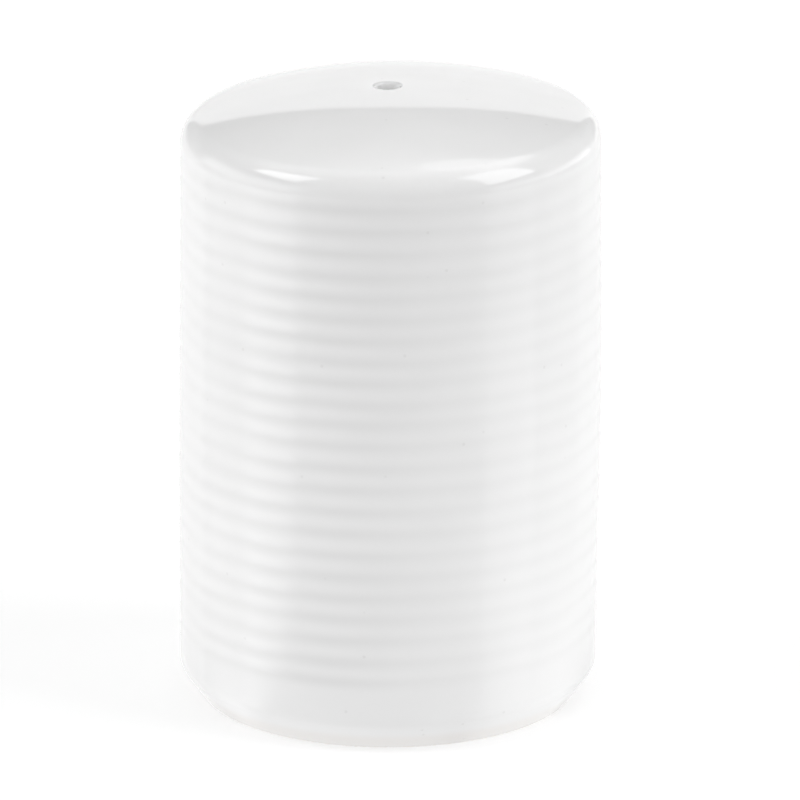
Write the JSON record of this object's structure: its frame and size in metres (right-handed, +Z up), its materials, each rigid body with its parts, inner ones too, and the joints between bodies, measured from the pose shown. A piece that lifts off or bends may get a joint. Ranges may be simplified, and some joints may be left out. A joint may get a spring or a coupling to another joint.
{
  "type": "pepper shaker",
  "caption": "Cylindrical white porcelain pepper shaker with a ribbed wall, a low dome with a shaking hole and a soft push-in stopper in its recessed base.",
  "frame": {"origin": "middle of the foot ring, on the surface that the shaker stands on", "axes": "+Z up along the shaker's axis, -Y towards the viewer of the picture"},
  "size_m": [0.0532, 0.0532, 0.08],
  "materials": {
    "porcelain": "clear gloss glaze on white porcelain, bare on the foot ring",
    "silicone": "matt milky silicone"
  },
  "bodies": {
    "shaker": {"porcelain_body": "porcelain"},
    "stopper": {"base_stopper": "silicone"}
  },
  "joints": [
    {"name": "stopper_pull", "type": "slide", "parent": "shaker", "child": "stopper", "axis": [0, 0, -1], "range_m": [0, 0.045]}
  ]
}
